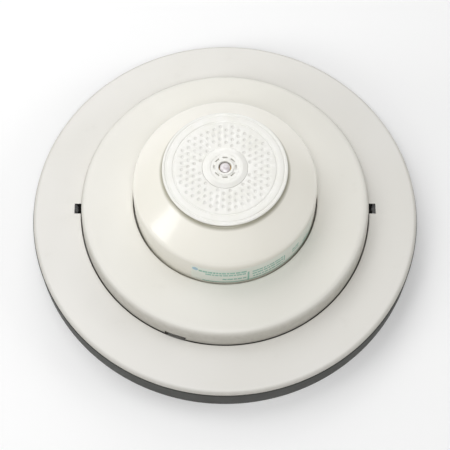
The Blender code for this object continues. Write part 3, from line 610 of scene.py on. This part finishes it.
def makeHousing(spec):
    top = housingHigh.z / mm
    bottom = housingLow.z / mm
    inner = housingRadius - spec["wall"]
    under = top - spec["topThickness"]
    collarOuter = spec["opening"] + spec["collar"]
    bm = turnedMesh([
        (housingRadius, bottom, 0.2), (housingRadius, plateTop, 0),
        (spec["shoulderRadius"], top, spec["shoulderRound"]),
        (spec["opening"], top, 0.45), (spec["opening"], spec["collarBack"], 0.3),
        (collarOuter, spec["collarBack"], 0.3), (collarOuter, under, 0.6),
        (inner, under, 1.2), (inner, bottom, 0.2)], 256)
    bosses, pilots = [], []
    for angle in spec["bossAngles"]:
        centre = (spec["bossCircle"] * math.cos(math.radians(angle)),
                  spec["bossCircle"] * math.sin(math.radians(angle)))
        bosses.append(pinMesh(spec["bossRadius"], spec["bossBack"], under + 0.6, centre))
        pilots.append(pinMesh(spec["pilotRadius"], spec["pilotBack"], spec["pilotTop"], centre))
    bm = combineMesh(bm, bosses, "UNION")
    notch = boxMesh((housingRadius - spec["notchDepth"], -spec["notchHalfWidth"], bottom - 1),
                    (housingRadius + 2, spec["notchHalfWidth"], spec["notchTop"]))
    bm = combineMesh(bm, [*pilots, turnMesh(notch, spec["notchAngle"])], "DIFFERENCE")
    addPiece("housingRing", bm, "detector", "housingAbs", ["housing_ring"])


makeHousing(housing)
print("housing made")


# Head cover with its printed label

headCover = {"wall": 1.8, "shoulderRadius": 35.8, "shoulderHeight": 37.3, "shoulderRound": 4.0,
             "baseRadius": 36.1, "topRadius": 23.9, "topRound": 0.5, "hole": 4.3,
             "flange": (39.4, 12.6, 14.6),  # radius, back and front
             "innerStep": 0.7, "innerDrop": 0.8, "innerRound": 2.2}


def makeHeadCover(spec):
    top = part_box("head_cover")[1].z / mm
    flangeRadius, flangeBack, flangeFront = spec["flange"]
    wall = spec["wall"]
    bm = turnedMesh([
        (flangeRadius, flangeBack, 0.2), (flangeRadius, flangeFront, 0.3),
        (spec["baseRadius"], flangeFront, 0), (spec["shoulderRadius"], spec["shoulderHeight"],
                                               spec["shoulderRound"]),
        (spec["topRadius"], top, spec["topRound"]), (spec["hole"], top, 0.2), (spec["hole"], top - wall, 0),
        (spec["topRadius"] - spec["innerStep"], top - wall, 0),
        (spec["shoulderRadius"] - wall, spec["shoulderHeight"] - spec["innerDrop"], spec["innerRound"]),
        (spec["baseRadius"] - wall, flangeBack, 0)], 256)
    addPiece("headCover", bm, "detector", "headAbs", ["head_cover"])


printedLabel = {
    "film": (-21, 70, 22.7, 34.2), "clearance": 0.01, "filmThickness": 0.03, "printThickness": 0.02,
    "seed": 7, "barLength": (1.2, 4.0), "barGap": (0.35, 0.6), "markSlices": 7,
    # each row of small print: first and last angle from the near side, middle height, bar height
    "rows": ((-16.2, 13.2, 31.2, 1.3), (-12, 13.2, 29.2, 1.1), (-1.5, 13.2, 25.6, 1.1),
             (17, 38.3, 29.8, 1.0), (17, 38.3, 27.7, 1.1), (17.5, 38, 25.4, 1.0),
             (46, 52, 29.0, 1.0), (46, 52, 27.0, 1.0), (57, 63, 25.2, 1.4)),
    # each rule: first and last angle, low and high edge
    "rules": ((13.9, 15.0, 22.9, 30.6), (38.9, 39.7, 25.4, 30.2), (-14, 69, 22.8, 23.4)),
    "dot": (-18.4, 32.0, 1.2),
}


def wallRadius(z):
    rise = z - headCover["flange"][2]
    full = headCover["shoulderHeight"] - headCover["flange"][2]
    slope = headCover["baseRadius"] - headCover["shoulderRadius"]
    return headCover["baseRadius"] - slope * rise / full


def addPatch(bm, near, far, first, last, low, high):  # stands near to far mm off the head's wall
    corners = [(wallRadius(low) + near, low), (wallRadius(low) + far, low),
               (wallRadius(high) + far, high), (wallRadius(high) + near, high)]
    face = bm.faces.new([bm.verts.new((r * mm, 0, z * mm)) for r, z in corners])
    start = math.radians(first - 90)
    bmesh.ops.rotate(bm, verts=face.verts, cent=(0, 0, 0), matrix=Matrix.Rotation(start, 3, "Z"))
    bmesh.ops.spin(bm, geom=[*face.verts, *face.edges, face], cent=(0, 0, 0), axis=(0, 0, 1),
                   angle=math.radians(last - first), steps=max(1, round((last - first) / 1.6)))


def makeLabel(spec):  # bars stand for the small print, with no lettering
    film = bmesh.new()
    addPatch(film, spec["clearance"], spec["clearance"] + spec["filmThickness"], *spec["film"])
    addPiece("labelFilm", film, "detector", "labelFilm")
    near = spec["clearance"] + spec["filmThickness"]
    far = near + spec["printThickness"]
    chance = random.Random(spec["seed"])
    bm = bmesh.new()
    for first, last, height, tall in spec["rows"]:
        angle = first
        while angle < last:
            length = chance.uniform(*spec["barLength"])
            addPatch(bm, near, far, angle, min(angle + length, last), height - tall / 2, height + tall / 2)
            angle += length + chance.uniform(*spec["barGap"])
    for rule in spec["rules"]:
        addPatch(bm, near, far, *rule)
    addPiece("headPrint", bm, "detector", "ink")
    mark = bmesh.new()
    middle, height, radius = spec["dot"]
    reach = math.degrees(radius / headCover["baseRadius"])
    slices = spec["markSlices"]
    for index in range(slices):  # the round mark is a stack of short bars
        offset = (index + 0.5) / slices * 2 - 1
        half = reach * math.sqrt(1 - offset * offset)
        low = height + radius * (index / slices * 2 - 1)
        addPatch(mark, near, far, middle - half, middle + half, low, low + radius * 2 / slices)
    addPiece("headMark", mark, "detector", "blueInk")


makeHeadCover(headCover)
makeLabel(printedLabel)
print("head cover made")


# Heat collector, hub and fusible plug

collectorDisc = {"edgeRound": 0.42, "hubGap": 0.05, "grooveRadii": (22.6, 19.7), "grooveHalf": 0.45,
                 "grooveDepth": 0.2, "dotPitch": 2.7, "dotRadius": 0.74, "dotDepth": 0.2,
                 "dotTurn": -2.0, "dotField": (9.7, 18.7)}


def makeCollector(spec):
    low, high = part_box("heat_collector")
    top = high.z / mm
    back = low.z / mm
    outer = high.x / mm
    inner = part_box("collector_hub")[1].x / mm + spec["hubGap"]
    corners = [(inner, back, 0), (outer, back, spec["edgeRound"]), (outer, top, spec["edgeRound"])]
    half, depth = spec["grooveHalf"], spec["grooveDepth"]
    for radius in spec["grooveRadii"]:
        corners += [(radius + half, top, 0.08), (radius + half * 0.4, top - depth, 0.05),
                    (radius - half * 0.4, top - depth, 0.05), (radius - half, top, 0.08)]
    corners.append((inner, top, 0.15))
    bm = turnedMesh(corners, 192)
    pitch = spec["dotPitch"]
    ball = (spec["dotRadius"] ** 2 + spec["dotDepth"] ** 2) / (2 * spec["dotDepth"])
    dots = bmesh.new()
    turn = Matrix.Rotation(math.radians(spec["dotTurn"]), 4, "Z")
    columnStep = pitch * math.sqrt(3) / 2
    columns = int(spec["dotField"][1] / columnStep) + 1
    rows = int(spec["dotField"][1] / pitch) + 1
    for column in range(-columns, columns + 1):  # staggered columns
        for row in range(-rows, rows + 1):
            x = column * columnStep
            y = (row + (0.5 if column % 2 else 0.0)) * pitch
            if spec["dotField"][0] < math.hypot(x, y) < spec["dotField"][1]:
                place = Matrix.Translation((x * mm, y * mm, (top - spec["dotDepth"] + ball) * mm))
                bmesh.ops.create_icosphere(dots, subdivisions=3, radius=ball * mm, matrix=turn @ place)
    setSlot(dots, 1)
    bm = combineMesh(bm, [dots], "DIFFERENCE")
    piece = addPiece("heatCollector", bm, "collector", "enamel", ["heat_collector"])
    piece.data.materials.append(finishes["dimpleShadeEnamel"])  # painted shade: the dimples take the darker enamel


collectorHub = {"bore": 2.45, "collar": 3.55, "slits": 8, "slitCircle": 4.2, "slitHalfWidth": 0.31,
                "slitSweep": 13.0, "slitDepth": 1.5, "step": 5.4, "stepDepth": 0.14, "crest": 6.9,
                "lipHeight": 0.2, "edgeHeight": 0.12}


def makeHub(spec):
    low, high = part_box("collector_hub")
    outer = high.x / mm
    lip = high.z / mm
    back = low.z / mm
    top = lip - spec["lipHeight"]
    ledge = top - spec["stepDepth"]
    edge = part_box("heat_collector")[1].z / mm + spec["edgeHeight"]
    bm = turnedMesh([
        (spec["bore"], back, 0), (outer, back, 0), (outer, edge, 0.1), (spec["crest"], top, 0.9),
        (spec["step"] + 0.3, top, 0.3), (spec["step"], ledge, 0.2), (spec["collar"], ledge, 0.15),
        (spec["collar"] - 0.15, lip, 0.15), (spec["bore"], lip, 0.2)], 160)
    near, far = spec["slitCircle"] - spec["slitHalfWidth"], spec["slitCircle"] + spec["slitHalfWidth"]
    slit = [(near, lip - spec["slitDepth"]), (far, lip - spec["slitDepth"]), (far, lip + 1), (near, lip + 1)]
    turn = 360 / spec["slits"]
    bm = combineMesh(bm, [arcMesh(slit, turn * n, spec["slitSweep"], 8) for n in range(spec["slits"])],
                     "DIFFERENCE")
    addPiece("collectorHub", bm, "collector", "enamel", ["collector_hub"])


# the set solder stands as a low dome: shares of the radius, and drops below the top
solderDome = {"rimDrop": 0.45, "slopeShare": 0.72, "slopeDrop": 0.12, "crownShare": 0.3, "crownDrop": 0.02}


def makePlug(spec):
    low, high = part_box("fusible_plug")
    radius, top, back = high.x / mm, high.z / mm, low.z / mm
    crown = top - spec["crownDrop"]
    bm = turnedMesh([(0, back, 0), (radius, back, 0), (radius, top - spec["rimDrop"], 0.12),
                     (radius * spec["slopeShare"], top - spec["slopeDrop"], 0.5),
                     (radius * spec["crownShare"], crown, 0.5), (0, crown, 0)], 48)
    addPiece("fusiblePlug", bm, "collector", "solder", ["fusible_plug"], 60)


makeCollector(collectorDisc)
makeHub(collectorHub)
makePlug(solderDome)
print("collector made")


# Diaphragm: a thin corrugated disc in sectors, each waved between the stud and the clamped edge

diaphragmSheet = {"sectors": 8, "sweep": 44.9, "hole": 1.5, "edge": 10.0, "waveStart": 3.0,
                  "waveEnd": 8.0, "waveHeight": 0.3, "waves": 2, "thickness": 0.2, "waveSteps": 24}


def makeDiaphragm(spec):
    low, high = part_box("diaphragm")
    centre = (low + high) / 2
    back = low.z / mm
    span = spec["waveEnd"] - spec["waveStart"]
    outline = [(spec["hole"], back)]
    for step in range(spec["waveSteps"] + 1):
        share = step / spec["waveSteps"]
        lift = spec["waveHeight"] * (1 - math.cos(share * spec["waves"] * math.tau)) / 2
        outline.append((spec["waveStart"] + span * share, back + lift))
    outline.append((spec["edge"], back))
    outline += [(r, z + spec["thickness"]) for r, z in reversed(outline)]
    for sector in range(spec["sectors"]):
        middle = 360 / spec["sectors"] * sector
        bm = arcMesh(outline, middle, spec["sweep"] / 2, 10)
        bmesh.ops.translate(bm, verts=bm.verts, vec=(centre.x, centre.y, 0))
        piece = addPiece("diaphragmSector%d" % (sector + 1), bm, None, "bronze", ["diaphragm"])
        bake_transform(piece)


makeDiaphragm(diaphragmSheet)
print("diaphragm made")


# Carried-over nodes get their finish by what the record says they are

slotFinish = {
    "white_abs": "plateAbs", "cream_abs": "headAbs", "charcoal_abs": "charcoalShadeAbs",
    "base_grey": "baseAbs", "phenolic": "phenolic", "zinc_steel": "zinc", "brass": "brass",
    "bronze": "bronze", "silver": "silver", "spring_steel": "spring", "coated_aluminium": "enamel",
    "solder": "solder", "rubber": "rubber",
}


def finishNodes():
    slots = {row["node"]: row["material_slot"] for row in frame["record"]["subparts"]}
    for name, node in frame["nodes"].items():
        node.data.materials.clear()
        node.data.materials.append(finishes[slotFinish[slots[name]]])


finishNodes()
print("nodes finished")


# Floor

floorSetup = {"half": 1.6, "drop": 0.2, "colour": "FCFCFC", "roughness": 0.9}  # half in metres, drop in mm


def addFloor(setup):
    bm = bmesh.new()
    bmesh.ops.create_grid(bm, x_segments=1, y_segments=1, size=setup["half"])
    bmesh.ops.translate(bm, verts=bm.verts, vec=(0, 0, -setup["drop"] * mm))
    mesh = bpy.data.meshes.new("floor")
    bm.to_mesh(mesh)
    bm.free()
    material, _, shader = newMaterial("mattePaper")  # plain matte white paper
    shader.inputs["Base Color"].default_value = linearColour(setup["colour"])
    shader.inputs["Roughness"].default_value = setup["roughness"]
    mesh.materials.append(material)
    floor = bpy.data.objects.new("floor", mesh)
    bpy.context.scene.collection.objects.link(floor)


addFloor(floorSetup)
print("floor ready")
